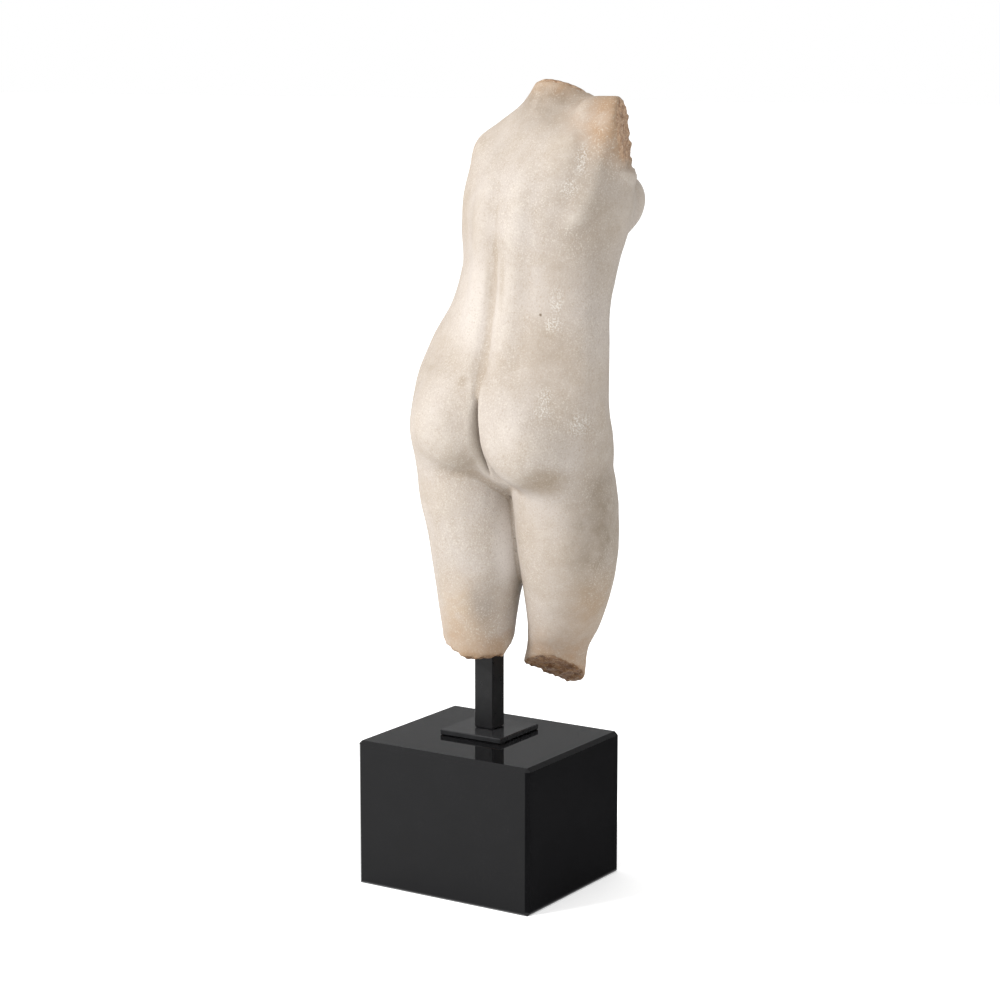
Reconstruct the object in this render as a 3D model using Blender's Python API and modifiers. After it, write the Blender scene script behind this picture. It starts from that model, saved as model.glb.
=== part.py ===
"""Headless, armless standing nude in cast stone, held on a square post over a foot plate and a polished black plinth.

Metres, +Z up. The origin is the middle of the plinth's underside; the figure faces -Y, so its own right is -X.
The figure is laid out in parts of its own height, counted from the post's axis at the foot of the torso.
"""
import math

import bmesh
import bpy
import numpy as np

# Plinth, foot plate and post
PLINTH_WIDTH = 0.185
PLINTH_DEPTH = 0.160
PLINTH_HEIGHT = 0.135
PLINTH_CHAMFER = 0.0034
PLINTH_FOOT_CHAMFER = 0.0016
PLATE_SIDE = 0.066
PLATE_THICKNESS = 0.005
PLATE_CHAMFER = 0.0008
POST_SIDE = 0.020
POST_CHAMFER = 0.0008
POST_SHOWN = 0.070
POST_X = 0.007
POST_Y = -0.011
SEAT_GAP = 0.0003

# Socket for the post in the broken end of the left leg
SOCKET_DEPTH = 0.030
SOCKET_CLEARANCE = 0.0003

# Figure: its height is divided into parts, and all its forms are given in those parts
FIGURE_HEIGHT = 0.560
FIGURE_PARTS = 560.0
GRID_STEP = 2.5
TORSO_TRIANGLES = 9000

# The midline of the trunk: height, sideways place, place front to back, turn in degrees, tilt
MIDLINE = (
    (110, -30, 9, -3, 0.09),
    (150, -30, 10, -3, 0.09),
    (210, -30, 11, -3, 0.09),
    (250, -29, 9, -5, 0.08),
    (290, -34, 3, -10, 0.04),
    (330, -42, -4, -16, -0.02),
    (370, -49, -12, -18, -0.08),
    (410, -51, -20, -15, -0.12),
    (450, -52, -28, -13, -0.14),
    (490, -55, -33, -13, -0.15),
    (530, -53, -36, -13, -0.15),
)
# Cross-sections of the trunk: height, half width, depth behind the midline, depth before it
TRUNK = (
    (156, 14, 12, 14),
    (164, 42, 24, 28),
    (178, 68, 38, 44),
    (195, 88, 46, 54),
    (218, 97, 50, 59),
    (250, 99, 47, 56),
    (290, 96, 44, 50),
    (325, 87, 46, 51),
    (360, 84, 52, 53),
    (400, 89, 61, 55),
    (440, 82, 60, 43),
    (470, 68, 47, 36),
    (492, 40, 33, 32),
    (508, 25, 23, 24),
    (525, 20, 20, 20),
)
TRUNK_SQUARENESS = 2.15
# Thighs: height, sideways place, place front to back, half width, half depth
LEFT_THIGH = (
    (-30, 8, 5, 31, 32),
    (10, 8, 5, 32, 33),
    (50, 7.5, 6, 37, 38),
    (90, 5.5, 8, 43.5, 43),
    (120, 7, 10, 46, 46),
    (143, 11, 11, 47, 48),
    (180, 17, 11, 45, 46),
    (210, 19, 11, 42, 40),
    (260, 10, 8, 15, 15),
)
RIGHT_THIGH = (
    (-40, -42, -39, 31, 32),
    (-15, -47, -37, 29, 30),
    (5, -53, -34, 28, 29.5),
    (26, -63, -27, 32, 34),
    (53, -71, -20, 37.5, 39),
    (90, -77, -12, 44, 44),
    (120, -80, -6, 46, 47),
    (143, -80, -3, 47, 48),
    (180, -78, 3, 47, 47),
    (210, -73, 5, 44, 44),
    (260, -60, 8, 15, 15),
)
# Broken faces: a place on each and the way it looks
NECK_BREAK = ((-51, -30, 519), (-0.12, -0.36, 1.0))
LEFT_ARM_BREAK = ((24, -30, 440), (0.88, -0.45, -0.1))
RIGHT_ARM_BREAK = ((-129, -27, 472), (-0.94, -0.36, 0.08))
RIGHT_ARM_BREAK_FOOT = 447
LEFT_LEG_BREAKS = (
    ((2, 30, -3), (-0.25, 0.22, -1.0)),
    ((-24, 16, -4), (-1.05, -0.66, -1.0)),
    ((2, 30, -5), (0.50, 0.25, -1.0)),
)
RIGHT_LEG_BREAKS = (
    ((-47, -37, -20), (-0.1, 0.60, -1.0)),
    ((-24, -54, -26), (0.43, 0.36, -1.0)),
)
BREAK_RIPPLE = 3.2
BREAK_RIPPLE_LENGTH = 17
BETWEEN_LEGS = ((-22, -14, 0), (0.85, 0.54, 0.0))


def smooth_table(rows, samples=400):
    """Turns rows of stations into a fine table by a cubic through the rows; the first column is the height."""
    table = np.array(rows, dtype=float)
    heights = table[:, 0]
    fine = np.linspace(heights[0], heights[-1], samples)
    slopes = np.gradient(table, heights, axis=0)
    place = np.clip(np.searchsorted(heights, fine, side="right") - 1, 0, len(heights) - 2)
    span = (heights[place + 1] - heights[place])[:, None]
    t = ((fine - heights[place])[:, None]) / span
    low, high = table[place], table[place + 1]
    curve = ((2 * t**3 - 3 * t**2 + 1) * low + (t**3 - 2 * t**2 + t) * span * slopes[place]
             + (3 * t**2 - 2 * t**3) * high + (t**3 - t**2) * span * slopes[place + 1])
    curve[:, 0] = fine
    return curve


def look_up(table, column, height):
    return np.interp(height, table[:, 0], table[:, column])


def blend(first, second, reach):
    """Joins two masses, rounding the seam between them over the given reach."""
    share = np.clip(0.5 + 0.5 * (second - first) / reach, 0.0, 1.0)
    return second + (first - second) * share - reach * share * (1.0 - share)


def carve(body, tool, reach):
    """Takes the tool out of the body, with the edge softened over the given reach."""
    return -blend(-body, tool, reach)


def ellipsoid(x, y, z, centre, radii, lean=0.0, swing=0.0):
    """Distance to an ellipsoid; lean tips its top sideways and swing tips its top backwards, in degrees."""
    dx, dy, dz = x - centre[0], y - centre[1], z - centre[2]
    if lean:
        c, s = math.cos(math.radians(lean)), math.sin(math.radians(lean))
        dx, dz = dx * c - dz * s, dx * s + dz * c
    if swing:
        c, s = math.cos(math.radians(swing)), math.sin(math.radians(swing))
        dy, dz = dy * c - dz * s, dy * s + dz * c
    near = np.sqrt((dx / radii[0])**2 + (dy / radii[1])**2 + (dz / radii[2])**2)
    slope = np.sqrt((dx / radii[0]**2)**2 + (dy / radii[1]**2)**2 + (dz / radii[2]**2)**2)
    return near * (near - 1.0) / np.maximum(slope, 1e-6)


def rod(x, y, z, start, end, start_radius, end_radius):
    """Distance to a round bar that tapers from one point to the other."""
    ax, ay, az = (end[i] - start[i] for i in range(3))
    dx, dy, dz = x - start[0], y - start[1], z - start[2]
    share = np.clip((dx * ax + dy * ay + dz * az) / (ax * ax + ay * ay + az * az), 0.0, 1.0)
    gap = np.sqrt((dx - share * ax)**2 + (dy - share * ay)**2 + (dz - share * az)**2)
    return gap - (start_radius + (end_radius - start_radius) * share)


def block(x, y, z, centre, turn, half_sizes, corner):
    """Distance to an upright block with rounded corners, turned about the vertical in degrees."""
    c, s = math.cos(math.radians(turn)), math.sin(math.radians(turn))
    dx, dy, dz = x - centre[0], y - centre[1], z - centre[2]
    dx, dy = dx * c + dy * s, -dx * s + dy * c
    out = [np.abs(d) - size + corner for d, size in zip((dx, dy, dz), half_sizes)]
    beyond = np.sqrt(sum(np.maximum(o, 0.0)**2 for o in out))
    return beyond + np.minimum(np.maximum(np.maximum(out[0], out[1]), out[2]), 0.0) - corner


def chip(x, y, z, length, seed):
    """A ridged ripple from 0 to 1 for broken stone."""
    rng = np.random.default_rng(seed)
    total = 0.0
    for _ in range(4):
        way = rng.normal(size=3)
        way = way / np.linalg.norm(way) * (2.0 * math.pi / length) * rng.uniform(0.7, 1.4)
        total = total + np.abs(np.sin(way[0] * x + way[1] * y + way[2] * z + rng.uniform(0, 6.28)))
    return total / 4.0


MIDLINE_CURVE = smooth_table(MIDLINE)
TRUNK_CURVE = smooth_table(TRUNK)
LEFT_THIGH_CURVE = smooth_table(LEFT_THIGH)
RIGHT_THIGH_CURVE = smooth_table(RIGHT_THIGH)


def thigh(x, y, z, curve):
    dx = (x - look_up(curve, 1, z)) / look_up(curve, 3, z)
    dy = (y - look_up(curve, 2, z)) / look_up(curve, 4, z)
    near = np.sqrt(dx**2 + dy**2) + 1e-6
    body = np.hypot(x - look_up(curve, 1, z), y - look_up(curve, 2, z)) * (1.0 - 1.0 / near)
    return np.maximum(body, z - curve[-1, 0])


def trunk_frame(x, y, z):
    """Places in the trunk's own straight frame: across the body, towards its back and up."""
    turn = np.radians(look_up(MIDLINE_CURVE, 3, z))
    dx, dy = x - look_up(MIDLINE_CURVE, 1, z), y - look_up(MIDLINE_CURVE, 2, z)
    across = dx * np.cos(turn) + dy * np.sin(turn)
    back = -dx * np.sin(turn) + dy * np.cos(turn)
    return across, back, z - look_up(MIDLINE_CURVE, 4, z) * dx


def trunk(across, back, h):
    """The trunk and the masses on it, nearly the same on both sides."""
    side = np.abs(across)
    half, behind, before = (look_up(TRUNK_CURVE, column, h) for column in (1, 2, 3))
    depth = np.where(back > 0, behind, before)
    power = TRUNK_SQUARENESS
    near = ((side / half)**power + (np.abs(back) / depth)**power)**(1.0 / power) + 1e-6
    body = np.hypot(across, back) * (1.0 - 1.0 / near)
    body = np.maximum(body, TRUNK[0][0] - h)

    # Buttocks, running softly into the loins above and folded sharply over the thighs below
    reach = np.interp(h, (180, 220, 255), (6, 16, 34))
    body = blend(body, ellipsoid(side, back, h, (39, 23, 212), (45, 45, 46), lean=-6), reach)
    # Belly and pubic mound
    body = blend(body, ellipsoid(across, back, h, (0, -40, 228), (50, 26, 62)), 24)
    body = blend(body, ellipsoid(across, back, h, (0, -36, 168), (22, 22, 24)), 20)
    # Breasts
    body = blend(body, ellipsoid(side, back, h, (37, -41, 404), (29, 30, 29)), 13)
    # Shoulder blades
    body = blend(body, ellipsoid(side, back, h, (42, 36, 436), (22, 14, 34), lean=8), 16)
    # Long muscles beside the spine, and the groove between them
    bar = np.interp(h, (215, 260, 300, 350, 430, 470, 490), (-3, 12, 15, 15.6, 14.2, 6, -12))
    bar = np.where(h < 215, -12.0, bar)
    body = blend(body, np.hypot(side - 20, back - behind + 13) - bar, 11)
    groove = np.interp(h, (240, 268, 300, 340, 430), (-9, 2, 2, 1, -9))
    body = carve(body, np.hypot(across, back - behind - 3) - groove, 12)
    # Fold of the back towards the right armpit
    body = blend(body, rod(across, back, h, (-76, 17, 472), (-71, 31, 400), 9, 4), 18)
    # Midline of the breastbone and the belly, and the navel
    groove = np.interp(h, (275, 310, 380, 440), (-10, 1, 2, -10))
    body = carve(body, np.hypot(across, back + before + 4) - groove, 14)
    body = carve(body, ellipsoid(across, back, h, (0, -66, 268), (3, 8, 4)), 4)
    return body


def figure(x, y, z):
    """Signed distance to the torso, below zero inside, in parts."""
    across, back, h = trunk_frame(x, y, z)
    body = trunk(across, back, h)
    left = thigh(x, y, z, LEFT_THIGH_CURVE)
    right = thigh(x, y, z, RIGHT_THIGH_CURVE)
    legs = blend(left, right, 5)
    # The seam with the thighs is tight in the middle and runs out over the hips
    body = blend(body, legs, np.interp(np.abs(x + 30), (30, 75), (6, 24)))
    # Cleft between the buttocks, deepest below
    body = carve(body, ellipsoid(across, back, h, (0, 82, 192), (4, 52, 68)), 5)
    body = carve(body, rod(across, back, h, (0, 72, 205), (-11, 42, 167), 1, 11), 6)
    rough = BREAK_RIPPLE * chip(x, y, z, BREAK_RIPPLE_LENGTH, 8)
    # Neck, broken off low and worn round
    body = blend(body, rod(x, y, z, (-58, -32, 470), (-49, -32, 503), 24, 18), 9)
    body = carve(body, -facing(x, y, z, *NECK_BREAK) - 0.5 * rough, 8)
    # Shoulders with their broken ends
    left_arm = rod(x, y, z, (-50, -32, 492), (4, -27, 453), 24, 26)
    left_arm = np.maximum(left_arm, facing(x, y, z, *LEFT_ARM_BREAK) + rough)
    right_arm = rod(x, y, z, (-80, -29, 480), (-120, -18, 483), 22, 21)
    right_arm = blend(right_arm, block(x, y, z, (-112, -20, 470), 20, (34, 28, 35), 22), 14)
    body = blend(body, left_arm, 14)
    body = blend(body, right_arm, 14)
    beyond = facing(x, y, z, *RIGHT_ARM_BREAK) + rough
    notch = np.minimum(beyond, 0.7 * (z - RIGHT_ARM_BREAK_FOOT + 0.9 * beyond))
    body = carve(body, np.where(x < -60, -notch, 99.0), 9)

    # Broken ends of the legs
    return np.where(z < 60, carve(body, -leg_ends(x, y, z) - rough, 4), body)


def leg_ends(x, y, z):
    """How far a place is past the broken end of the leg that it is nearest."""
    left = np.maximum.reduce([facing(x, y, z, *face) for face in LEFT_LEG_BREAKS])
    right = np.maximum.reduce([facing(x, y, z, *face) for face in RIGHT_LEG_BREAKS])
    return np.where(facing(x, y, z, *BETWEEN_LEGS) > 0.0, left, right)


def facing(x, y, z, place, normal):
    length = math.sqrt(sum(v * v for v in normal))
    return ((x - place[0]) * normal[0] + (y - place[1]) * normal[1] + (z - place[2]) * normal[2]) / length


def fill_doubtful_cells(values, depth):
    """Fills grid points where two parts of the skin would meet along one edge, so the skin stays simple."""
    for _ in range(40):
        changed = 0
        for one, two in ((0, 1), (0, 2), (1, 2)):
            slots = []
            for a in (0, 1):
                for b in (0, 1):
                    spot = [slice(None)] * 3
                    spot[one] = slice(a, values.shape[one] - 1 + a)
                    spot[two] = slice(b, values.shape[two] - 1 + b)
                    slots.append(tuple(spot))
            near, right, up, far = (values[slot] < 0.0 for slot in slots)
            crossed = (near == far) & (right == up) & (near != right)
            for slot, solid in zip(slots, (near, right, up, far)):
                values[slot][crossed & ~solid] = -depth
            changed += int(crossed.sum())
        if not changed:
            return values
    return values


def surface_net(values, corner, step):
    """Draws a closed skin of four-sided faces where the sampled values change sign."""
    size = values.shape
    inside = values < 0.0
    cells = tuple(n - 1 for n in size)
    offsets = [(i, j, k) for i in (0, 1) for j in (0, 1) for k in (0, 1)]

    def at(array, offset):
        return array[tuple(slice(o, o + c) for o, c in zip(offset, cells))]

    count = sum(at(inside, offset).astype(np.int8) for offset in offsets)
    live = np.argwhere((count > 0) & (count < 8))
    number = np.full(cells, -1, dtype=np.int64)
    number[tuple(live.T)] = np.arange(len(live))
    places = np.zeros((len(live), 3))
    crossings = np.zeros(len(live))
    for offset in offsets:
        for axis in range(3):
            if offset[axis]:
                continue
            other = tuple(1 if n == axis else offset[n] for n in range(3))
            first = values[tuple((live + offset).T)]
            second = values[tuple((live + other).T)]
            crossed = (first < 0.0) != (second < 0.0)
            share = np.where(crossed, first / np.where(crossed, first - second, 1.0), 0.0)
            spot = live + np.array(offset, dtype=float)
            spot[:, axis] += share
            places += np.where(crossed[:, None], spot, 0.0)
            crossings += crossed
    places = corner + step * places / crossings[:, None]

    quads = []
    for axis in range(3):
        one, two = [(1, 2), (2, 0), (0, 1)][axis]
        low = [slice(1, n - 1) for n in size]
        low[axis] = slice(0, size[axis] - 1)
        high = list(low)
        high[axis] = slice(1, size[axis])
        begins, ends = inside[tuple(low)], inside[tuple(high)]
        spots = np.argwhere(begins != ends)
        start = np.array([s.start for s in low])
        spots = spots + start
        leaving = inside[tuple(spots.T)]
        ring = []
        for a, b in ((0, 0), (-1, 0), (-1, -1), (0, -1)):
            cell = spots.copy()
            cell[:, one] += a
            cell[:, two] += b
            ring.append(number[tuple(cell.T)])
        ring = np.stack(ring, axis=1)
        ring[~leaving] = ring[~leaving][:, ::-1]
        quads.append(ring)
    return places, np.concatenate(quads)


def settle(places, rounds=2, reach=0.4):
    """Moves each corner of the skin onto the true surface along the slope of the field."""
    for _ in range(rounds):
        x, y, z = places.T
        value = figure(x, y, z)
        slope = np.stack([
            figure(x + reach, y, z) - figure(x - reach, y, z),
            figure(x, y + reach, z) - figure(x, y - reach, z),
            figure(x, y, z + reach) - figure(x, y, z - reach),
        ], axis=1) / (2.0 * reach)
        strength = np.maximum((slope**2).sum(axis=1), 0.2)
        move = -(value / strength)[:, None] * slope
        length = np.linalg.norm(move, axis=1)
        limit = np.minimum(1.0, 0.5 * GRID_STEP / np.maximum(length, 1e-9))
        places = places + move * limit[:, None]
    return places


def split_quads(places, quads):
    """Cuts each four-sided face along its shorter diagonal."""
    corners = places[quads]
    first = np.linalg.norm(corners[:, 0] - corners[:, 2], axis=1)
    second = np.linalg.norm(corners[:, 1] - corners[:, 3], axis=1)
    turned = np.where((first <= second)[:, None], quads, np.roll(quads, -1, axis=1))
    return np.concatenate([turned[:, [0, 1, 2]], turned[:, [0, 2, 3]]])


def new_collection(name):
    collection = bpy.data.collections.new(name)
    bpy.context.scene.collection.children.link(collection)
    return collection


def new_material(name, colour, roughness, metallic=0.0):
    material = bpy.data.materials.new(name)
    material.use_nodes = True
    shader = material.node_tree.nodes["Principled BSDF"]
    shader.inputs["Base Color"].default_value = (*colour, 1.0)
    shader.inputs["Roughness"].default_value = roughness
    shader.inputs["Metallic"].default_value = metallic
    material.diffuse_color = (*colour, 1.0)
    return material


def new_object(name, mesh, collection, material=None):
    obj = bpy.data.objects.new(name, mesh)
    collection.objects.link(obj)
    if material:
        mesh.materials.append(material)
    return obj


def add_block(name, size, location, collection, material=None, chamfer=0.0, foot_chamfer=0.0):
    """A box with a chamfer on its edges; the lower ones may take a smaller one of their own."""
    mesh = bpy.data.meshes.new(name)
    bm = bmesh.new()
    bmesh.ops.create_cube(bm, size=1.0)
    bmesh.ops.scale(bm, vec=size, verts=bm.verts)
    weight = bm.edges.layers.float.new("bevel_weight_edge")
    for edge in bm.edges:
        at_foot = all(v.co.z < 0.0 for v in edge.verts)
        edge[weight] = foot_chamfer / chamfer if at_foot and foot_chamfer else 1.0
    bm.to_mesh(mesh)
    bm.free()
    obj = new_object(name, mesh, collection, material)
    obj.location = location
    if chamfer:
        bevel = obj.modifiers.new("chamfer", "BEVEL")
        bevel.width = chamfer
        bevel.segments = 1
        bevel.limit_method = "WEIGHT"
    return obj


def add_torso(collection, material, location, scale):
    """The carved torso as one closed skin, brought down to the wanted number of triangles."""
    low = np.array((-150.0, -115.0, -50.0))
    high = np.array((75.0, 95.0, 540.0))
    counts = np.ceil((high - low) / GRID_STEP).astype(int) + 1
    axes = [low[n] + GRID_STEP * np.arange(counts[n]) for n in range(3)]
    x, y, z = np.meshgrid(*axes, indexing="ij")
    values = figure(x, y, z)
    values = fill_doubtful_cells(values, 0.05 * GRID_STEP)
    places, quads = surface_net(values, low, GRID_STEP)
    places = settle(places) * scale
    mesh = bpy.data.meshes.new("torso")
    triangles = split_quads(places, quads)
    mesh.from_pydata(places.tolist(), [], triangles.tolist())
    mesh.validate()
    mesh.shade_smooth()
    mesh.set_sharp_from_angle(angle=math.radians(40.0))
    torso = new_object("torso", mesh, collection, material)
    torso.location = location
    thin = torso.modifiers.new("facets", "DECIMATE")
    thin.ratio = min(1.0, TORSO_TRIANGLES / len(triangles))
    return torso


for obj in list(bpy.data.objects):
    bpy.data.objects.remove(obj, do_unlink=True)

statue = new_collection("goddess_statue")
cutters = new_collection("goddess_statue_cutters")

stone = new_material("cast_stone", (0.68, 0.60, 0.49), 0.7)
plinth_stone = new_material("polished_black_stone", (0.012, 0.012, 0.013), 0.06)
plate_black = new_material("plate_black", (0.015, 0.015, 0.016), 0.12)
post_black = new_material("post_black", (0.02, 0.02, 0.021), 0.3)

plate_foot = PLINTH_HEIGHT + SEAT_GAP
post_foot = plate_foot + PLATE_THICKNESS + SEAT_GAP
leg_break = post_foot + POST_SHOWN
post_top = leg_break + SOCKET_DEPTH - SEAT_GAP
scale = FIGURE_HEIGHT / FIGURE_PARTS

add_block("plinth", (PLINTH_WIDTH, PLINTH_DEPTH, PLINTH_HEIGHT), (0.0, 0.0, PLINTH_HEIGHT / 2.0),
          statue, plinth_stone, PLINTH_CHAMFER, PLINTH_FOOT_CHAMFER)
add_block("foot_plate", (PLATE_SIDE, PLATE_SIDE, PLATE_THICKNESS),
          (POST_X, POST_Y, plate_foot + PLATE_THICKNESS / 2.0), statue, plate_black, PLATE_CHAMFER)
add_block("post", (POST_SIDE, POST_SIDE, post_top - post_foot),
          (POST_X, POST_Y, (post_top + post_foot) / 2.0), statue, post_black, POST_CHAMFER)

torso = add_torso(statue, stone, (POST_X, POST_Y, leg_break), scale)
socket_side = POST_SIDE + 2.0 * SOCKET_CLEARANCE
socket_foot = leg_break - 0.040
socket = add_block("socket_cutter", (socket_side, socket_side, leg_break + SOCKET_DEPTH - socket_foot),
                   (POST_X, POST_Y, (leg_break + SOCKET_DEPTH + socket_foot) / 2.0), cutters)
socket.hide_render = True
socket.display_type = "WIRE"
cut = torso.modifiers.new("post_socket", "BOOLEAN")
cut.operation = "DIFFERENCE"
cut.solver = "EXACT"
cut.object = socket
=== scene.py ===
"""Weathered stone torso of a goddess on a square post over a polished black plinth, in a pale studio."""
import math

import bpy
import numpy as np
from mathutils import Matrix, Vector


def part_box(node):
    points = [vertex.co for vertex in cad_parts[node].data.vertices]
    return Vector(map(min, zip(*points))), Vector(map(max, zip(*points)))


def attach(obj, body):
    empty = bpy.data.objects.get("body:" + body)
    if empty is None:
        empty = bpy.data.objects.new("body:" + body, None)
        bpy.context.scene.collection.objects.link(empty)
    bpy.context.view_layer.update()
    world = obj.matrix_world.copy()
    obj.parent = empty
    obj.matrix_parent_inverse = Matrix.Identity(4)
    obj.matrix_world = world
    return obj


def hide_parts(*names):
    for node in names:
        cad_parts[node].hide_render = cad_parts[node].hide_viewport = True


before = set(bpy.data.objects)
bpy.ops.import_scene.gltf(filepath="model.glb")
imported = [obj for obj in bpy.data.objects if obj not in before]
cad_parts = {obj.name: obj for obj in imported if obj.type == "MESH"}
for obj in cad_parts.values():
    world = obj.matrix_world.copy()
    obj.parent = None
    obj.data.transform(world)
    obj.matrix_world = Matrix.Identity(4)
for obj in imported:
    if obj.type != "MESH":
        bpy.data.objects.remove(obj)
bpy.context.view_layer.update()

# The post's length below the broken end of the leg, and the socket that holds it
POST_SHOWN = 0.070
SOCKET_DEPTH = 0.030
SOCKET_SIDE = 0.0206
SOCKET_CUT_BELOW = 0.040

# The camera: its azimuth and pitch round the point it looks at, its distance and its lens
CAMERA_AZIMUTH = 212.69
CAMERA_PITCH = 9.77
CAMERA_DISTANCE = 2.395
CAMERA_TARGET = (-0.0083, -0.0053, 0.3553)
CAMERA_LENS = 95.0

# The figure, laid out as the CAD solid is: its height is divided into parts, and all its forms, the box
# that holds it and the step of its grid are given in those parts
FIGURE_HEIGHT = 0.560
FIGURE_PARTS = 560.0
FIGURE_LOW = (-150.0, -115.0, -50.0)
FIGURE_HIGH = (75.0, 95.0, 540.0)
GRID_STEP = 2.05

# The midline of the trunk: height, sideways place, place front to back, turn in degrees, tilt
MIDLINE = (
    (110, -30, 9, -3, 0.09),
    (150, -30, 10, -3, 0.09),
    (210, -30, 11, -3, 0.09),
    (250, -29, 9, -5, 0.08),
    (290, -34, 3, -10, 0.04),
    (330, -42, -4, -16, -0.02),
    (370, -49, -12, -18, -0.08),
    (410, -51, -20, -15, -0.12),
    (450, -52, -28, -13, -0.14),
    (490, -55, -33, -13, -0.15),
    (530, -53, -36, -13, -0.15),
)
# Cross-sections of the trunk: height, half width, depth behind the midline, depth before it
TRUNK = (
    (156, 14, 12, 14),
    (164, 42, 24, 28),
    (178, 68, 38, 44),
    (195, 88, 46, 54),
    (218, 97, 50, 59),
    (250, 99, 47, 56),
    (290, 96, 44, 50),
    (325, 87, 46, 51),
    (360, 84, 52, 53),
    (400, 89, 61, 55),
    (440, 82, 60, 43),
    (470, 68, 47, 36),
    (492, 40, 33, 32),
    (508, 25, 23, 24),
    (525, 20, 20, 20),
)
TRUNK_SQUARENESS = 2.15
# Thighs: height, sideways place, place front to back, half width, half depth
LEFT_THIGH = (
    (-30, 8, 5, 31, 32),
    (10, 8, 5, 32, 33),
    (50, 7.5, 6, 37, 38),
    (90, 5.5, 8, 43.5, 43),
    (120, 7, 10, 46, 46),
    (143, 11, 11, 47, 48),
    (180, 17, 11, 45, 46),
    (210, 19, 11, 42, 40),
    (260, 10, 8, 15, 15),
)
RIGHT_THIGH = (
    (-40, -42, -39, 31, 32),
    (-15, -47, -37, 29, 30),
    (5, -53, -34, 28, 29.5),
    (26, -63, -27, 32, 34),
    (53, -71, -20, 37.5, 39),
    (90, -77, -12, 44, 44),
    (120, -80, -6, 46, 47),
    (143, -80, -3, 47, 48),
    (180, -78, 3, 47, 47),
    (210, -73, 5, 44, 44),
    (260, -60, 8, 15, 15),
)
# Broken faces: a place on each and the way it looks
NECK_BREAK = ((-51, -30, 519), (-0.12, -0.36, 1.0))
LEFT_ARM_BREAK = ((24, -30, 440), (0.88, -0.45, -0.1))
RIGHT_ARM_BREAK = ((-129, -27, 472), (-0.94, -0.36, 0.08))
RIGHT_ARM_BREAK_FOOT = 447
LEFT_LEG_BREAKS = (
    ((2, 30, -3), (-0.25, 0.22, -1.0)),
    ((-24, 16, -4), (-1.05, -0.66, -1.0)),
    ((2, 30, -5), (0.50, 0.25, -1.0)),
)
RIGHT_LEG_BREAKS = (
    ((-47, -37, -20), (-0.1, 0.60, -1.0)),
    ((-24, -54, -26), (0.43, 0.36, -1.0)),
)
BREAK_RIPPLE = 3.2
BREAK_RIPPLE_LENGTH = 17
BREAK_RIPPLE_SEED = 8
BETWEEN_LEGS = ((-22, -14, 0), (0.85, 0.54, 0.0))


def smooth_table(rows, samples=400):
    """Turns rows of stations, each begun by its height, into a fine table by a cubic through them."""
    table = np.array(rows, dtype=float)
    heights = table[:, 0]
    fine = np.linspace(heights[0], heights[-1], samples)
    slopes = np.gradient(table, heights, axis=0)
    place = np.clip(np.searchsorted(heights, fine, side="right") - 1, 0, len(heights) - 2)
    span = (heights[place + 1] - heights[place])[:, None]
    t = ((fine - heights[place])[:, None]) / span
    low, high = table[place], table[place + 1]
    curve = ((2 * t**3 - 3 * t**2 + 1) * low + (t**3 - 2 * t**2 + t) * span * slopes[place]
             + (3 * t**2 - 2 * t**3) * high + (t**3 - t**2) * span * slopes[place + 1])
    curve[:, 0] = fine
    return curve


def look_up(table, column, height):
    """A column of a fine table at the given height."""
    return np.interp(height, table[:, 0], table[:, column])


def blend(first, second, reach):
    """Joins two masses, rounding the seam between them over the given reach."""
    share = np.clip(0.5 + 0.5 * (second - first) / reach, 0.0, 1.0)
    return second + (first - second) * share - reach * share * (1.0 - share)


def carve(body, tool, reach):
    """Takes the tool out of the body, with the edge softened over the given reach."""
    return -blend(-body, tool, reach)


def ellipsoid(x, y, z, centre, radii, lean=0.0, swing=0.0):
    """Distance to an ellipsoid; lean tips its top sideways and swing tips its top backwards, in degrees."""
    dx, dy, dz = x - centre[0], y - centre[1], z - centre[2]
    if lean:
        c, s = math.cos(math.radians(lean)), math.sin(math.radians(lean))
        dx, dz = dx * c - dz * s, dx * s + dz * c
    if swing:
        c, s = math.cos(math.radians(swing)), math.sin(math.radians(swing))
        dy, dz = dy * c - dz * s, dy * s + dz * c
    near = np.sqrt((dx / radii[0])**2 + (dy / radii[1])**2 + (dz / radii[2])**2)
    slope = np.sqrt((dx / radii[0]**2)**2 + (dy / radii[1]**2)**2 + (dz / radii[2]**2)**2)
    return near * (near - 1.0) / np.maximum(slope, 1e-6)


def rod(x, y, z, start, end, start_radius, end_radius):
    """Distance to a round bar that tapers from one point to the other."""
    ax, ay, az = (end[i] - start[i] for i in range(3))
    dx, dy, dz = x - start[0], y - start[1], z - start[2]
    share = np.clip((dx * ax + dy * ay + dz * az) / (ax * ax + ay * ay + az * az), 0.0, 1.0)
    gap = np.sqrt((dx - share * ax)**2 + (dy - share * ay)**2 + (dz - share * az)**2)
    return gap - (start_radius + (end_radius - start_radius) * share)


def block(x, y, z, centre, turn, half_sizes, corner):
    """Distance to an upright block with rounded corners, turned about the vertical in degrees."""
    c, s = math.cos(math.radians(turn)), math.sin(math.radians(turn))
    dx, dy, dz = x - centre[0], y - centre[1], z - centre[2]
    dx, dy = dx * c + dy * s, -dx * s + dy * c
    out = [np.abs(d) - size + corner for d, size in zip((dx, dy, dz), half_sizes)]
    beyond = np.sqrt(sum(np.maximum(o, 0.0)**2 for o in out))
    return beyond + np.minimum(np.maximum(np.maximum(out[0], out[1]), out[2]), 0.0) - corner


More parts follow.
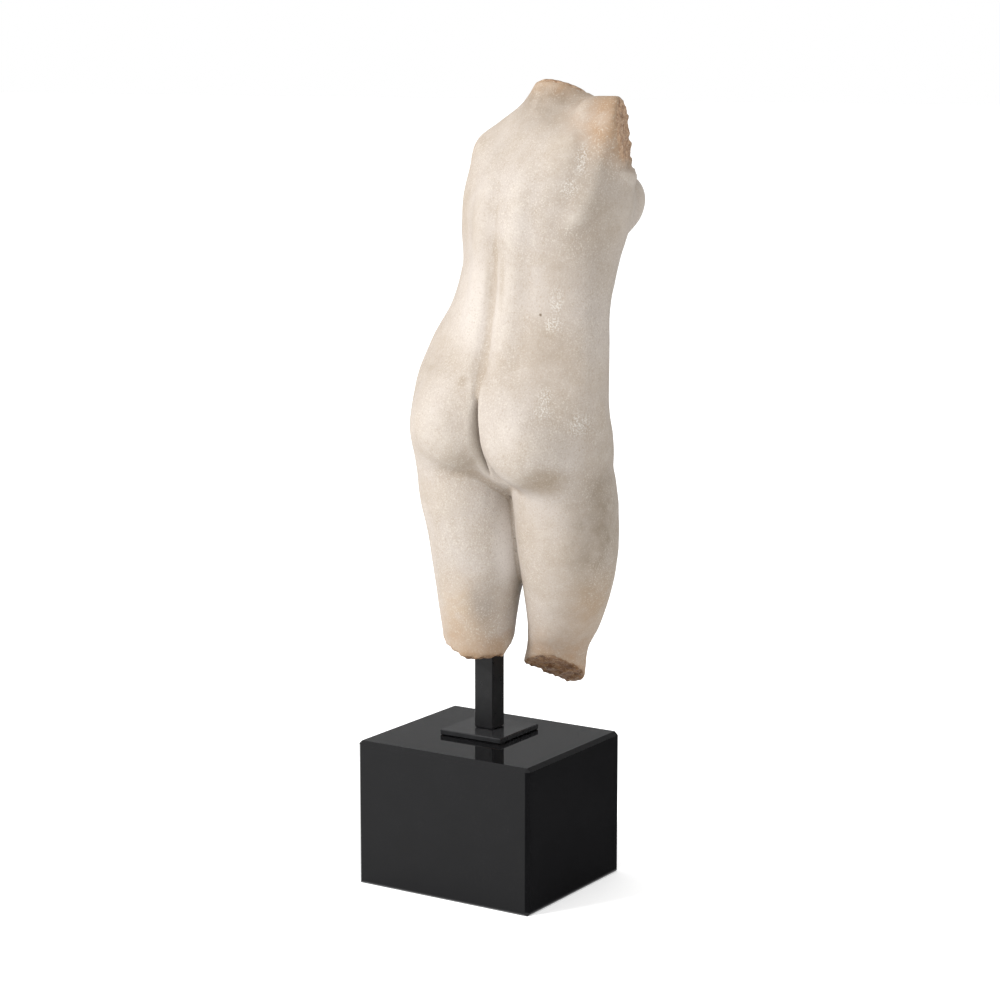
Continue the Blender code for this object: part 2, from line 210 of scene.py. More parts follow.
def chip(x, y, z, length, seed):
    """A ridged ripple from 0 to 1 for broken stone."""
    rng = np.random.default_rng(seed)
    total = 0.0
    for _ in range(4):
        way = rng.normal(size=3)
        way = way / np.linalg.norm(way) * (2.0 * math.pi / length) * rng.uniform(0.7, 1.4)
        total = total + np.abs(np.sin(way[0] * x + way[1] * y + way[2] * z + rng.uniform(0, 6.28)))
    return total / 4.0


def break_ripple(x, y, z):
    return BREAK_RIPPLE * chip(x, y, z, BREAK_RIPPLE_LENGTH, BREAK_RIPPLE_SEED)


MIDLINE_CURVE = smooth_table(MIDLINE)
TRUNK_CURVE = smooth_table(TRUNK)
LEFT_THIGH_CURVE = smooth_table(LEFT_THIGH)
RIGHT_THIGH_CURVE = smooth_table(RIGHT_THIGH)


def thigh(x, y, z, curve):
    """Distance to a thigh whose cross-sections follow the curve, ended flat at its top."""
    dx = (x - look_up(curve, 1, z)) / look_up(curve, 3, z)
    dy = (y - look_up(curve, 2, z)) / look_up(curve, 4, z)
    near = np.sqrt(dx**2 + dy**2) + 1e-6
    body = np.hypot(x - look_up(curve, 1, z), y - look_up(curve, 2, z)) * (1.0 - 1.0 / near)
    return np.maximum(body, z - curve[-1, 0])


def trunk_frame(x, y, z):
    """Places in the trunk's own straight frame: across the body, towards its back and up."""
    turn = np.radians(look_up(MIDLINE_CURVE, 3, z))
    dx, dy = x - look_up(MIDLINE_CURVE, 1, z), y - look_up(MIDLINE_CURVE, 2, z)
    across = dx * np.cos(turn) + dy * np.sin(turn)
    back = -dx * np.sin(turn) + dy * np.cos(turn)
    return across, back, z - look_up(MIDLINE_CURVE, 4, z) * dx


def trunk(across, back, h):
    """The trunk and the masses on it, nearly the same on both sides."""
    side = np.abs(across)
    half, behind, before = (look_up(TRUNK_CURVE, column, h) for column in (1, 2, 3))
    depth = np.where(back > 0, behind, before)
    power = TRUNK_SQUARENESS
    near = ((side / half)**power + (np.abs(back) / depth)**power)**(1.0 / power) + 1e-6
    body = np.hypot(across, back) * (1.0 - 1.0 / near)
    body = np.maximum(body, TRUNK[0][0] - h)

    # Buttocks, running softly into the loins above and folded sharply over the thighs below
    reach = np.interp(h, (180, 220, 255), (6, 16, 34))
    body = blend(body, ellipsoid(side, back, h, (39, 23, 212), (45, 45, 46), lean=-6), reach)
    # Belly and pubic mound
    body = blend(body, ellipsoid(across, back, h, (0, -40, 228), (50, 26, 62)), 24)
    body = blend(body, ellipsoid(across, back, h, (0, -36, 168), (22, 22, 24)), 20)
    # Breasts
    body = blend(body, ellipsoid(side, back, h, (37, -41, 404), (29, 30, 29)), 13)
    # Shoulder blades
    body = blend(body, ellipsoid(side, back, h, (42, 36, 436), (22, 14, 34), lean=8), 16)
    # Long muscles beside the spine, and the groove between them
    bar = np.interp(h, (215, 260, 300, 350, 430, 470, 490), (-3, 12, 15, 15.6, 14.2, 6, -12))
    bar = np.where(h < 215, -12.0, bar)
    body = blend(body, np.hypot(side - 20, back - behind + 13) - bar, 11)
    groove = np.interp(h, (240, 268, 300, 340, 430), (-9, 2, 2, 1, -9))
    body = carve(body, np.hypot(across, back - behind - 3) - groove, 12)
    # Fold of the back towards the right armpit
    body = blend(body, rod(across, back, h, (-76, 17, 472), (-71, 31, 400), 9, 4), 18)
    # Midline of the breastbone and the belly, and the navel
    groove = np.interp(h, (275, 310, 380, 440), (-10, 1, 2, -10))
    body = carve(body, np.hypot(across, back + before + 4) - groove, 14)
    body = carve(body, ellipsoid(across, back, h, (0, -66, 268), (3, 8, 4)), 4)
    return body


def figure(x, y, z):
    """Signed distance to the torso, below zero inside, in parts."""
    across, back, h = trunk_frame(x, y, z)
    body = trunk(across, back, h)
    left = thigh(x, y, z, LEFT_THIGH_CURVE)
    right = thigh(x, y, z, RIGHT_THIGH_CURVE)
    legs = blend(left, right, 5)
    # The seam with the thighs is tight in the middle and runs out over the hips
    body = blend(body, legs, np.interp(np.abs(x + 30), (30, 75), (6, 24)))
    # Cleft between the buttocks, deepest below
    body = carve(body, ellipsoid(across, back, h, (0, 82, 192), (4, 52, 68)), 5)
    body = carve(body, rod(across, back, h, (0, 72, 205), (-11, 42, 167), 1, 11), 6)
    rough = break_ripple(x, y, z)
    # Neck, broken off low and worn round
    body = blend(body, rod(x, y, z, (-58, -32, 470), (-49, -32, 503), 24, 18), 9)
    body = carve(body, -facing(x, y, z, *NECK_BREAK) - 0.5 * rough, 8)
    # Shoulders with their broken ends
    left_arm = rod(x, y, z, (-50, -32, 492), (4, -27, 453), 24, 26)
    left_arm = np.maximum(left_arm, facing(x, y, z, *LEFT_ARM_BREAK) + rough)
    right_arm = rod(x, y, z, (-80, -29, 480), (-120, -18, 483), 22, 21)
    right_arm = blend(right_arm, block(x, y, z, (-112, -20, 470), 20, (34, 28, 35), 22), 14)
    body = blend(body, left_arm, 14)
    body = blend(body, right_arm, 14)
    body = carve(body, np.where(x < -60, -right_arm_notch(x, y, z, rough), 99.0), 9)
    # Broken ends of the legs
    return np.where(z < 60, carve(body, -leg_ends(x, y, z) - rough, 4), body)


def right_arm_notch(x, y, z, rough):
    """How far a place is past the right arm's break, which ends below in a ledge."""
    beyond = facing(x, y, z, *RIGHT_ARM_BREAK) + rough
    return np.minimum(beyond, 0.7 * (z - RIGHT_ARM_BREAK_FOOT + 0.9 * beyond))


def leg_ends(x, y, z):
    """How far a place is past the broken end of the leg that it is nearest."""
    left = np.maximum.reduce([facing(x, y, z, *face) for face in LEFT_LEG_BREAKS])
    right = np.maximum.reduce([facing(x, y, z, *face) for face in RIGHT_LEG_BREAKS])
    return np.where(facing(x, y, z, *BETWEEN_LEGS) > 0.0, left, right)


def facing(x, y, z, place, normal):
    """Distance in front of the plane through a place, on the side that its normal looks to."""
    length = math.sqrt(sum(v * v for v in normal))
    return ((x - place[0]) * normal[0] + (y - place[1]) * normal[1] + (z - place[2]) * normal[2]) / length


def fill_doubtful_cells(values, depth):
    """Fills grid points where two parts of the skin would meet along one edge, so the skin stays simple."""
    for _ in range(40):
        changed = 0
        for one, two in ((0, 1), (0, 2), (1, 2)):
            slots = []
            for a in (0, 1):
                for b in (0, 1):
                    spot = [slice(None)] * 3
                    spot[one] = slice(a, values.shape[one] - 1 + a)
                    spot[two] = slice(b, values.shape[two] - 1 + b)
                    slots.append(tuple(spot))
            near, right, up, far = (values[slot] < 0.0 for slot in slots)
            crossed = (near == far) & (right == up) & (near != right)
            for slot, solid in zip(slots, (near, right, up, far)):
                values[slot][crossed & ~solid] = -depth
            changed += int(crossed.sum())
        if not changed:
            return values
    return values


def surface_net(values, corner, step):
    """Draws a closed skin of four-sided faces where the sampled values change sign."""
    size = values.shape
    inside = values < 0.0
    cells = tuple(n - 1 for n in size)
    offsets = [(i, j, k) for i in (0, 1) for j in (0, 1) for k in (0, 1)]

    def at(array, offset):
        return array[tuple(slice(o, o + c) for o, c in zip(offset, cells))]

    count = sum(at(inside, offset).astype(np.int8) for offset in offsets)
    live = np.argwhere((count > 0) & (count < 8))
    number = np.full(cells, -1, dtype=np.int64)
    number[tuple(live.T)] = np.arange(len(live))
    places = np.zeros((len(live), 3))
    crossings = np.zeros(len(live))
    for offset in offsets:
        for axis in range(3):
            if offset[axis]:
                continue
            other = tuple(1 if n == axis else offset[n] for n in range(3))
            first = values[tuple((live + offset).T)]
            second = values[tuple((live + other).T)]
            crossed = (first < 0.0) != (second < 0.0)
            share = np.where(crossed, first / np.where(crossed, first - second, 1.0), 0.0)
            spot = live + np.array(offset, dtype=float)
            spot[:, axis] += share
            places += np.where(crossed[:, None], spot, 0.0)
            crossings += crossed
    places = corner + step * places / crossings[:, None]

    quads = []
    for axis in range(3):
        one, two = [(1, 2), (2, 0), (0, 1)][axis]
        low = [slice(1, n - 1) for n in size]
        low[axis] = slice(0, size[axis] - 1)
        high = list(low)
        high[axis] = slice(1, size[axis])
        begins, ends = inside[tuple(low)], inside[tuple(high)]
        spots = np.argwhere(begins != ends)
        start = np.array([s.start for s in low])
        spots = spots + start
        leaving = inside[tuple(spots.T)]
        ring = []
        for a, b in ((0, 0), (-1, 0), (-1, -1), (0, -1)):
            cell = spots.copy()
            cell[:, one] += a
            cell[:, two] += b
            ring.append(number[tuple(cell.T)])
        ring = np.stack(ring, axis=1)
        ring[~leaving] = ring[~leaving][:, ::-1]
        quads.append(ring)
    return places, np.concatenate(quads)


def settle(places, rounds=2, reach=0.4):
    """Moves each corner of the skin onto the true surface along the slope of the field."""
    for _ in range(rounds):
        x, y, z = places.T
        value = figure(x, y, z)
        slope = np.stack([
            figure(x + reach, y, z) - figure(x - reach, y, z),
            figure(x, y + reach, z) - figure(x, y - reach, z),
            figure(x, y, z + reach) - figure(x, y, z - reach),
        ], axis=1) / (2.0 * reach)
        strength = np.maximum((slope**2).sum(axis=1), 0.2)
        move = -(value / strength)[:, None] * slope
        length = np.linalg.norm(move, axis=1)
        limit = np.minimum(1.0, 0.5 * GRID_STEP / np.maximum(length, 1e-9))
        places = places + move * limit[:, None]
    return places


def split_quads(places, quads):
    """Cuts each four-sided face along its shorter diagonal."""
    corners = places[quads]
    first = np.linalg.norm(corners[:, 0] - corners[:, 2], axis=1)
    second = np.linalg.norm(corners[:, 1] - corners[:, 3], axis=1)
    turned = np.where((first <= second)[:, None], quads, np.roll(quads, -1, axis=1))
    return np.concatenate([turned[:, [0, 1, 2]], turned[:, [0, 2, 3]]])


# Finer relief of the carved stone: length and height of each ripple, in parts, and its first seed
SKIN_RELIEF = ((34.0, 0.34), (15.0, 0.20), (7.0, 0.12))
SKIN_SEED = 40
BREAK_RELIEF = ((13.0, 1.5), (7.0, 1.1), (4.3, 0.7))
BREAK_SEED = 60
# How far each broken face reaches from its place, in parts
NECK_BREAK_REACH = 62.0
LEFT_ARM_BREAK_REACH = 33.0
LEG_BREAK_REACH = 60.0
# Places with x below this belong to the right arm's break
RIGHT_ARM_BREAK_SIDE = -100.0
# Stain on the legs: height where it is full, how fast it fades upwards and its strength
LEFT_LEG_STAIN = (-6, 30.0, 0.75)
RIGHT_LEG_STAIN = (-22, 34.0, 1.0)
# Stain round the other breaks: broken face, how fast it fades, height where it ends and its strength
BREAK_STAINS = (
    (NECK_BREAK, 18.0, 470, 0.7),
    (RIGHT_ARM_BREAK, 30.0, 432, 1.0),
    (LEFT_ARM_BREAK, 13.0, 405, 0.6),
)
# Rounds of evening that show the small hollows and the broad creases, and the depth of a full one
HOLLOW_ROUNDS, HOLLOW_DEPTH = 14, 0.7
CREASE_ROUNDS, CREASE_DEPTH = 60, 2.5

# Darker places, some soiled and some painted shade: centre and reach in metres, strength, colour
SOIL_AND_SHADE = (
    # Neck: brown stain round the break, and painted shade where the top curves away from the light
    ((-0.055, -0.010, 0.730), (0.070, 0.060, 0.060), 0.95, (0.18, 0.141, 0.102)),
    # Painted shade: the right side of the back and the right loin, the folds under both buttocks and the
    # outer side of the right thigh
    ((-0.105, 0.025, 0.605), (0.048, 0.060, 0.100), 0.50, (0.23, 0.185, 0.140)),
    ((-0.088, 0.035, 0.500), (0.038, 0.050, 0.055), 0.55, (0.23, 0.185, 0.140)),
    ((-0.088, 0.050, 0.385), (0.040, 0.030, 0.022), 0.70, (0.19, 0.135, 0.075)),
    ((-0.010, 0.055, 0.392), (0.045, 0.030, 0.020), 0.50, (0.19, 0.145, 0.090)),
    ((-0.120, 0.000, 0.335), (0.038, 0.060, 0.110), 0.85, (0.19, 0.150, 0.106)),
    # Brown stain near the broken ends of the legs, then darker marks and bands on the legs and back
    ((-0.108, -0.018, 0.258), (0.045, 0.050, 0.060), 0.75, (0.28, 0.190, 0.110)),
    ((0.012, 0.018, 0.255), (0.036, 0.040, 0.070), 0.85, (0.355, 0.262, 0.172)),
    ((-0.008, 0.028, 0.262), (0.015, 0.030, 0.035), 0.60, (0.23, 0.205, 0.185)),
    ((-0.002, 0.047, 0.469), (0.007, 0.015, 0.007), 0.50, (0.20, 0.145, 0.085)),
    ((0.010, 0.035, 0.485), (0.030, 0.030, 0.022), 0.30, (0.26, 0.205, 0.140)),
    ((-0.017, 0.028, 0.548), (0.006, 0.030, 0.040), 0.40, (0.24, 0.190, 0.130)),
    ((0.021, 0.006, 0.606), (0.011, 0.016, 0.060), 0.40, (0.27, 0.215, 0.155)),
    ((-0.037, 0.036, 0.560), (0.006, 0.030, 0.035), 0.35, (0.24, 0.190, 0.130)),
)
# Painted light: pale places where the stone is made to look more strongly lit: centre and reach, strength
PAINTED_LIGHT = (
    ((-0.005, 0.030, 0.530), (0.060, 0.060, 0.070), 0.55),
    ((0.020, 0.035, 0.450), (0.030, 0.050, 0.040), 0.40),
    ((-0.030, 0.017, 0.315), (0.013, 0.030, 0.060), 0.90),
    ((-0.065, 0.050, 0.430), (0.016, 0.040, 0.030), 0.35),
)
# Places rubbed down to pale grains, and small pits
RUBBED = (
    ((-0.091, 0.033, 0.543), (0.008, 0.020, 0.016)),
    ((-0.089, 0.034, 0.523), (0.012, 0.020, 0.009)),
    ((-0.087, 0.046, 0.460), (0.008, 0.020, 0.013)),
    ((-0.086, 0.048, 0.447), (0.011, 0.020, 0.009)),
    ((-0.104, 0.012, 0.664), (0.007, 0.020, 0.020)),
    ((-0.098, 0.020, 0.640), (0.010, 0.020, 0.012)),
    ((-0.112, 0.030, 0.436), (0.012, 0.025, 0.014)),
)
PITS = (
    ((-0.077, 0.036, 0.531), 0.0020),
    ((-0.0262, 0.040, 0.4660), 0.0022),
)


def lattice_noise(points, cell, seed):
    """Smooth noise from -1 to 1 over cells of the given size."""
    side = 32
    values = np.random.default_rng(seed).uniform(-1.0, 1.0, (side, side, side))
    spot = points / cell
    base = np.floor(spot).astype(int)
    t = spot - base
    t = t * t * (3.0 - 2.0 * t)
    total = 0.0
    for i in (0, 1):
        for j in (0, 1):
            for k in (0, 1):
                weight = (np.abs(1 - i - t[:, 0]) * np.abs(1 - j - t[:, 1]) * np.abs(1 - k - t[:, 2]))
                a, b, c = ((base + (i, j, k)) % side).T
                total = total + weight * values[a, b, c]
    return total


def near_break(places, face, reach):
    """One on the broken face, falling to nothing off it or past its reach."""
    off = np.abs(facing(*places.T, *face) + break_ripple(*places.T))
    away = np.linalg.norm(places - np.array(face[0], dtype=float), axis=1)
    return np.clip(1.6 - off, 0.0, 1.0) * np.clip((reach - away) / 6.0, 0.0, 1.0)


def broken_share(places):
    """How far each corner of the skin lies on a broken face, from 0 to 1."""
    x, y, z = places.T
    share = near_break(places, NECK_BREAK, NECK_BREAK_REACH)
    share = np.maximum(share, near_break(places, LEFT_ARM_BREAK, LEFT_ARM_BREAK_REACH))
    off = np.abs(right_arm_notch(x, y, z, break_ripple(x, y, z)))
    on_arm = np.clip((4.4 - off) / 3.2, 0.0, 1.0) * np.clip((z - RIGHT_ARM_BREAK_FOOT) / 12.0, 0.0, 1.0)
    share = np.maximum(share, on_arm * (x < RIGHT_ARM_BREAK_SIDE))
    left = facing(x, y, z, *BETWEEN_LEGS) > 0.0
    for faces, side in ((LEFT_LEG_BREAKS, left), (RIGHT_LEG_BREAKS, ~left)):
        for face in faces:
            share = np.maximum(share, near_break(places, face, LEG_BREAK_REACH) * side)
    return share


def stain_share(places):
    """Brown stain that spreads from the breaks over the skin near them, from 0 to 1."""
    total = np.zeros(len(places))
    x, y, z = places.T
    left = facing(x, y, z, *BETWEEN_LEGS) > 0.0
    for (full, reach, most), side in ((LEFT_LEG_STAIN, left), (RIGHT_LEG_STAIN, ~left)):
        on_leg = np.exp(-np.maximum(z - full, 0) / reach) * most
        total = np.maximum(total, np.where(side, on_leg, 0.0))
    for face, reach, foot, most in BREAK_STAINS:
        off = np.maximum(-facing(x, y, z, *face), 0.0)
        away = np.linalg.norm(places - np.array(face[0], dtype=float), axis=1)
        near = np.exp(-off / reach) * np.clip((95.0 - away) / 40.0, 0.0, 1.0)
        near = near * np.clip((z - foot) / 45.0, 0.0, 1.0)
        total = np.maximum(total, most * near)
    return total


def corner_normals(places, faces):
    """The way the skin looks at each of its corners."""
    spread = np.cross(places[faces[:, 1]] - places[faces[:, 0]], places[faces[:, 2]] - places[faces[:, 0]])
    normals = np.zeros_like(places)
    for n in range(3):
        for axis in range(3):
            normals[:, axis] += np.bincount(faces[:, n], spread[:, axis], len(places))
    return normals / np.maximum(np.linalg.norm(normals, axis=1), 1e-12)[:, None]


def evened(places, faces, rounds):
    """The skin with its corners drawn again and again to the middle of their neighbours."""
    ends = np.concatenate([faces[:, [0, 1]], faces[:, [1, 2]], faces[:, [2, 0]]])
    count = np.bincount(ends[:, 0], minlength=len(places))
    for _ in range(rounds):
        mean = np.stack([np.bincount(ends[:, 0], places[ends[:, 1], axis], len(places))
                         for axis in range(3)], axis=1) / count[:, None]
        places = 0.4 * places + 0.6 * mean
    return places


def carved_torso(origin, scale):
    """The figure as a fine mesh in metres, with how broken, stained and hollow it is at each corner."""
    low, high = np.array(FIGURE_LOW), np.array(FIGURE_HIGH)
    counts = np.ceil((high - low) / GRID_STEP).astype(int) + 1
    axes = [low[n] + GRID_STEP * np.arange(counts[n]) for n in range(3)]
    x, y, z = np.meshgrid(*axes, indexing="ij")
    values = figure(x, y, z)
    values = fill_doubtful_cells(values, 0.05 * GRID_STEP)
    places, quads = surface_net(values, low, GRID_STEP)
    places = settle(places)
    faces = split_quads(places, quads)
    broken = broken_share(places)
    normals = corner_normals(places, faces)
    lift = np.zeros(len(places))
    for seed, (cell, height) in enumerate(SKIN_RELIEF):
        lift += height * (1.0 - broken) * lattice_noise(places, cell, SKIN_SEED + seed)
    for seed, (cell, height) in enumerate(BREAK_RELIEF):
        lift -= height * broken * np.abs(lattice_noise(places, cell, BREAK_SEED + seed))
    places = places + normals * lift[:, None]
    normals = corner_normals(places, faces)
    hollow = ((evened(places, faces, HOLLOW_ROUNDS) - places) * normals).sum(axis=1) / HOLLOW_DEPTH
    crease = ((evened(places, faces, CREASE_ROUNDS) - places) * normals).sum(axis=1) / CREASE_DEPTH

    mesh = bpy.data.meshes.new("carved_torso")
    mesh.from_pydata((places * scale + np.array(origin)).tolist(), [], faces.tolist())
    for name, share in (("broken", broken), ("stain", stain_share(places)),
                        ("hollow", np.clip(hollow, -1, 1)), ("crease", np.clip(crease, -1, 1))):
        layer = mesh.attributes.new(name, "FLOAT", "POINT")
        layer.data.foreach_set("value", share.astype(np.float32))
    mesh.shade_smooth()
    torso = bpy.data.objects.new("carved_torso", mesh)
    bpy.context.scene.collection.objects.link(torso)
    return torso


def cut_socket(torso, centre, foot, depth):
    """Takes the post's square hole out of the broken end of the leg."""
    half = SOCKET_SIDE / 2.0
    xs = (centre[0] - half, centre[0] + half)
    ys = (centre[1] - half, centre[1] + half)
    zs = (foot - SOCKET_CUT_BELOW, foot + depth)
    corners = [(x, y, z) for z in zs for y in ys for x in xs]
    sides = [(0, 2, 3, 1), (4, 5, 7, 6), (0, 1, 5, 4), (1, 3, 7, 5), (3, 2, 6, 7), (2, 0, 4, 6)]
    mesh = bpy.data.meshes.new("socket")
    mesh.from_pydata(corners, [], sides)
    cutter = bpy.data.objects.new("socket", mesh)
    bpy.context.scene.collection.objects.link(cutter)
    cut = torso.modifiers.new("socket", "BOOLEAN")
    cut.operation = "DIFFERENCE"
    cut.solver = "EXACT"
    cut.object = cutter
    bpy.context.view_layer.update()
    graph = bpy.context.evaluated_depsgraph_get()
    done = bpy.data.meshes.new_from_object(torso.evaluated_get(graph))
    torso.modifiers.clear()
    torso.data = done
    bpy.data.objects.remove(cutter, do_unlink=True)


# Materials
class Nodes:
    """A material's node tree with short ways to add and join its nodes."""

    def __init__(self, name):
        self.material = bpy.data.materials.new(name)
        self.material.use_nodes = True
        self.tree = self.material.node_tree
        self.shader = self.tree.nodes["Principled BSDF"]
        self.coords = self.tree.nodes.new("ShaderNodeTexCoord").outputs["Object"]

    def join(self, source, target):
        """Links an output to an input, or sets the input to a number or a colour."""
        if isinstance(source, (int, float)):
            target.default_value = source
        elif isinstance(source, tuple):
            target.default_value = source if len(source) == len(target.default_value) else (*source, 1.0)
        else:
            self.tree.links.new(source, target)

    def noise(self, scale, detail=3.0, roughness=0.55, distortion=0.0, shift=0.0):
        node = self.tree.nodes.new("ShaderNodeTexNoise")
        node.inputs["Scale"].default_value = scale
        node.inputs["Detail"].default_value = detail
        node.inputs["Roughness"].default_value = roughness
        node.inputs["Distortion"].default_value = distortion
        coords = self.coords
        if shift:
            move = self.tree.nodes.new("ShaderNodeVectorMath")
            move.inputs[1].default_value = (shift, 0.7 * shift, 1.3 * shift)
            self.join(coords, move.inputs[0])
            coords = move.outputs[0]
        self.join(coords, node.inputs["Vector"])
        return node.outputs["Fac"]

    def cells(self, scale):
        node = self.tree.nodes.new("ShaderNodeTexVoronoi")
        node.inputs["Scale"].default_value = scale
        self.join(self.coords, node.inputs["Vector"])
        return node.outputs["Distance"]

    def ramp(self, value, low, high, out_low=0.0, out_high=1.0):
        node = self.tree.nodes.new("ShaderNodeMapRange")
        node.interpolation_type = "SMOOTHSTEP"
        node.inputs["From Min"].default_value = low
        node.inputs["From Max"].default_value = high
        node.inputs["To Min"].default_value = out_low
        node.inputs["To Max"].default_value = out_high
        self.join(value, node.inputs["Value"])
        return node.outputs["Result"]

    def math(self, kind, first, second):
        node = self.tree.nodes.new("ShaderNodeMath")
        node.operation = kind
        self.join(first, node.inputs[0])
        self.join(second, node.inputs[1])
        return node.outputs[0]

    def times(self, first, second):
        return self.math("MULTIPLY", first, second)

    def mix(self, share, first, second):
        node = self.tree.nodes.new("ShaderNodeMix")
        node.data_type = "RGBA"
        self.join(share, node.inputs[0])
        self.join(first, node.inputs[6])
        self.join(second, node.inputs[7])
        return node.outputs[2]

    def height(self):
        node = self.tree.nodes.new("ShaderNodeSeparateXYZ")
        self.join(self.coords, node.inputs[0])
        return node.outputs["Z"]

    def attribute(self, name):
        node = self.tree.nodes.new("ShaderNodeAttribute")
        node.attribute_name = name
        return node.outputs["Fac"]

    def spot(self, centre, radii):
        """One at the centre of a soft ellipsoid in the row frame, nothing outside it."""
        node = self.tree.nodes.new("ShaderNodeVectorMath")
        node.operation = "SUBTRACT"
        self.join(self.coords, node.inputs[0])
        node.inputs[1].default_value = centre
        shrink = self.tree.nodes.new("ShaderNodeVectorMath")
        shrink.operation = "DIVIDE"
        self.join(node.outputs[0], shrink.inputs[0])
        shrink.inputs[1].default_value = radii
        length = self.tree.nodes.new("ShaderNodeVectorMath")
        length.operation = "LENGTH"
        self.join(shrink.outputs[0], length.inputs[0])
        return self.ramp(length.outputs["Value"], 0.2, 1.0, 1.0, 0.0)

    def bump(self, height, strength, distance, below=None):
        node = self.tree.nodes.new("ShaderNodeBump")
        node.inputs["Strength"].default_value = strength
        node.inputs["Distance"].default_value = distance
        self.join(height, node.inputs["Height"])
        if below:
            self.join(below, node.inputs["Normal"])
        return node.outputs["Normal"]


def stone_material():
    """Pale stone with clouds, soiling, stain, grain, painted light and shade, and crumbling rust where
    broken.
    """
    n = Nodes("weathered_stone")
    broad = n.ramp(n.noise(7.0, 3.0, 0.5), 0.35, 0.65)
    cloud = n.ramp(n.noise(24.0, 5.0, 0.6, 0.4, 3.1), 0.35, 0.68)
    mottle = n.ramp(n.noise(95.0, 4.0, 0.6, 0.3, 1.7), 0.35, 0.7)
    colour = n.mix(broad, (0.385, 0.340, 0.303), (0.352, 0.300, 0.252))
    colour = n.mix(n.times(cloud, 0.5), colour, (0.305, 0.250, 0.193))
    colour = n.mix(n.times(mottle, 0.30), colour, (0.425, 0.380, 0.340))
    # Painted light: pale patches on the loins, the buttocks and the left thigh, standing for brighter
    # lighting there
    for centre, radii, share in PAINTED_LIGHT:
        colour = n.mix(n.times(n.spot(centre, radii), share), colour, (0.52, 0.475, 0.44))
    # Soiled places and painted shade, then darker colour in hollows and creases, then pale wear on what
    # stands proud
    ragged = n.ramp(n.noise(45.0, 5.0, 0.65, 0.5, 7.7), 0.28, 0.72, 0.45, 1.0)
    for centre, radii, share, tint in SOIL_AND_SHADE:
        soil_and_shade = n.times(n.spot(centre, radii), ragged)
        colour = n.mix(n.times(soil_and_shade, share), colour, tint)
    hollow, crease = n.attribute("hollow"), n.attribute("crease")
    patchy = n.ramp(n.noise(38.0, 5.0, 0.65, 0.6, 5.3), 0.3, 0.7, 0.55, 1.0)
    colour = n.mix(n.times(n.ramp(crease, 0.2, 1.0), 0.22), colour, (0.25, 0.19, 0.13))
    colour = n.mix(n.times(n.ramp(hollow, 0.2, 1.0), 0.30), colour, (0.22, 0.165, 0.11))
    colour = n.mix(n.times(n.ramp(hollow, -0.15, -0.8), 0.3), colour, (0.50, 0.455, 0.40))
    stain = n.times(n.attribute("stain"), patchy)
    colour = n.mix(n.times(n.ramp(stain, 0.0, 0.55), 0.85), colour, (0.285, 0.172, 0.088))
    # Fine pale grains and small dark specks
    grain = n.noise(680.0, 3.0, 0.65)
    grain_where = n.ramp(n.noise(16.0, 3.0, 0.5, 0.0, 9.0), 0.35, 0.65, 0.35, 1.0)
    colour = n.mix(n.times(n.ramp(grain, 0.53, 0.66), n.times(grain_where, 0.48)),
                   colour, (0.55, 0.505, 0.435))
    colour = n.mix(n.times(n.ramp(grain, 0.45, 0.32), 0.45), colour, (0.27, 0.21, 0.15))
    for centre, radii in RUBBED:
        worn = n.times(n.spot(centre, radii), n.ramp(grain, 0.47, 0.62))
        colour = n.mix(n.times(worn, 0.60), colour, (0.56, 0.54, 0.50))
    for centre, size in PITS:
        colour = n.mix(n.spot(centre, (size, 3.0 * size, size)), colour, (0.13, 0.095, 0.06))
    # Broken stone, darker on the legs than on the shoulders
    broken = n.attribute("broken")
    crumbs = n.ramp(n.noise(150.0, 5.0, 0.75, 0.5), 0.36, 0.66)
    high = n.math("ADD", n.ramp(n.height(), 0.198, 0.212, 0.0, 0.6), n.ramp(n.height(), 0.40, 0.55, 0.0, 0.4))
    deep = n.mix(high, (0.110, 0.043, 0.013), (0.20, 0.105, 0.052))
    proud = n.mix(high, (0.28, 0.145, 0.060), (0.46, 0.31, 0.20))
    bright = n.mix(high, (0.46, 0.34, 0.23), (0.62, 0.50, 0.38))
    rust = n.mix(n.ramp(n.noise(430.0, 3.0, 0.7), 0.56, 0.70), n.mix(crumbs, deep, proud), bright)
    colour = n.mix(n.times(n.ramp(broken, 0.15, 0.8), 0.92), colour, rust)
    n.join(colour, n.shader.inputs["Base Color"])
    n.join(n.ramp(n.noise(60.0, 4.0, 0.6, 0.0, 2.2), 0.3, 0.7, 0.58, 0.8), n.shader.inputs["Roughness"])
    n.shader.inputs["Specular IOR Level"].default_value = 0.35
    uneven = n.bump(n.noise(85.0, 4.0, 0.6), 0.5, 0.0009)
    grains = n.bump(n.noise(760.0, 3.0, 0.65), 0.65, 0.00045, uneven)
    pits = n.ramp(n.cells(330.0), 0.05, 0.22)
    final = n.bump(pits, 0.3, 0.0003, grains)
    rough_break = n.times(broken, n.noise(260.0, 4.0, 0.75))
    final = n.bump(rough_break, 0.8, 0.0016, final)
    n.join(final, n.shader.inputs["Normal"])
    return n.material


def polished_material(name, base, roughness, fleck):
    """Polished stone with fine flecks and a faint waviness."""
    n = Nodes(name)
    fine = n.ramp(n.noise(900.0, 2.0, 0.6), 0.45, 0.75)
    cloud = n.ramp(n.noise(40.0, 4.0, 0.6), 0.3, 0.7)
    colour = n.mix(n.times(fine, 0.5), base, fleck)
    colour = n.mix(n.times(cloud, 0.35), colour, tuple(0.7 * v for v in base))
    n.join(colour, n.shader.inputs["Base Color"])
    n.join(n.ramp(n.noise(55.0, 5.0, 0.7, 0.4), 0.35, 0.75, roughness, roughness * 1.8),
           n.shader.inputs["Roughness"])
    n.join(n.bump(n.noise(18.0, 2.0, 0.5), 0.05, 0.0004), n.shader.inputs["Normal"])
    n.shader.inputs["Specular IOR Level"].default_value = 0.25
    return n.material


